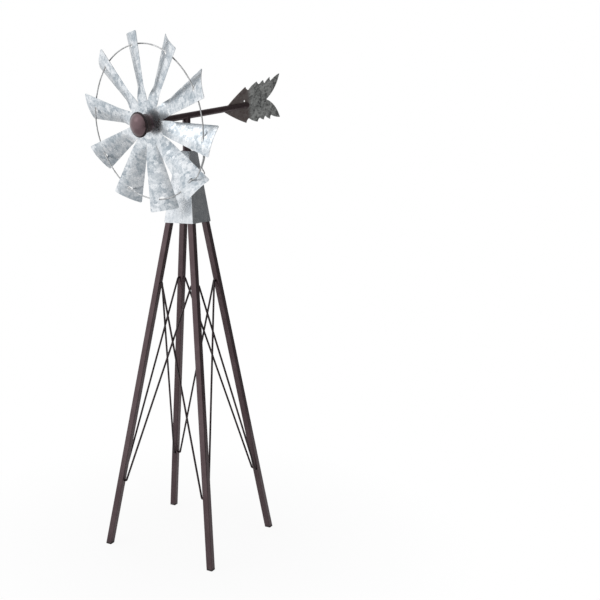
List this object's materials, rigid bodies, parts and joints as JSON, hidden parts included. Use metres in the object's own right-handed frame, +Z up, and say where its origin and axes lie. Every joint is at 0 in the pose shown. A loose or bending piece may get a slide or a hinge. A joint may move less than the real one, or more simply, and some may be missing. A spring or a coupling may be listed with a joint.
{
  "type": "garden windmill",
  "caption": "Free-standing garden windmill: braced four-leg tower of square tube, folded cap, swivelling boom with arrow tail and a pitched blade wheel with a wire rim.",
  "frame": {"origin": "on the ground, midway between the four feet, where the tower's axis meets it", "axes": "+Z up along the tower's axis; the tower's sides face +X, -X, +Y and -Y; the wheel faces -Y, turned 12.5 degrees at rest, and the tail points to +Y"},
  "size_m": [0.3322, 0.4423, 1.0259],
  "materials": {
    "bronze_paint": "semi-gloss dark bronze paint",
    "galvanised_sheet": "hot-dip galvanised with a mottled spangle",
    "galvanised_tail": "darkened galvanised sheet with a mottled spangle",
    "bright_wire": "drawn steel wire",
    "zinc_hardware": "zinc plated",
    "black_nylon": "matt moulded nylon"
  },
  "bodies": {
    "tower": {"leg_front_left": "bronze_paint", "leg_front_right": "bronze_paint", "leg_rear_right": "bronze_paint", "leg_rear_left": "bronze_paint", "foot_front_left": "black_nylon", "foot_front_right": "black_nylon", "foot_rear_right": "black_nylon", "foot_rear_left": "black_nylon", "brace_front_a": "bronze_paint", "brace_front_b": "bronze_paint", "brace_right_a": "bronze_paint", "brace_right_b": "bronze_paint", "brace_rear_a": "bronze_paint", "brace_rear_b": "bronze_paint", "brace_left_a": "bronze_paint", "brace_left_b": "bronze_paint", "tower_cap": "galvanised_sheet", "cap_top_plate": "galvanised_sheet", "leg_bracket": "zinc_hardware", "leg_top_plugs": "black_nylon", "bracket_screws": "zinc_hardware", "pivot_post": "bronze_paint", "post_collar": "bronze_paint", "post_bush_upper": "black_nylon", "post_bush_lower": "black_nylon"},
    "head": {"swivel_pin": "zinc_hardware", "swivel_sleeve": "bronze_paint", "thrust_washer": "black_nylon", "boom_tube": "bronze_paint", "tail_vane": "galvanised_tail", "tail_rivets": "bronze_paint", "axle_insert": "zinc_hardware", "wheel_axle": "zinc_hardware", "axle_washers": "zinc_hardware", "axle_spacer": "bronze_paint", "axle_nut": "zinc_hardware"},
    "wheel": {"blade_wheel": "galvanised_sheet", "rim_wire": "bright_wire", "hub_back_plate": "bronze_paint", "hub_flange": "bronze_paint", "hub_neck": "bronze_paint", "hub_dome": "bronze_paint", "hub_screws": "zinc_hardware", "hub_bush": "black_nylon"}
  },
  "joints": [
    {"name": "head_yaw", "type": "hinge", "parent": "tower", "child": "head", "pos_m": [0, 0, 0.85], "axis": [0, 0, 1], "continuous": true},
    {"name": "wheel_spin", "type": "hinge", "parent": "head", "child": "wheel", "pos_m": [-0.02297, -0.10362, 0.85838], "axis": [0.2142, 0.9663, 0.1426], "continuous": true}
  ]
}
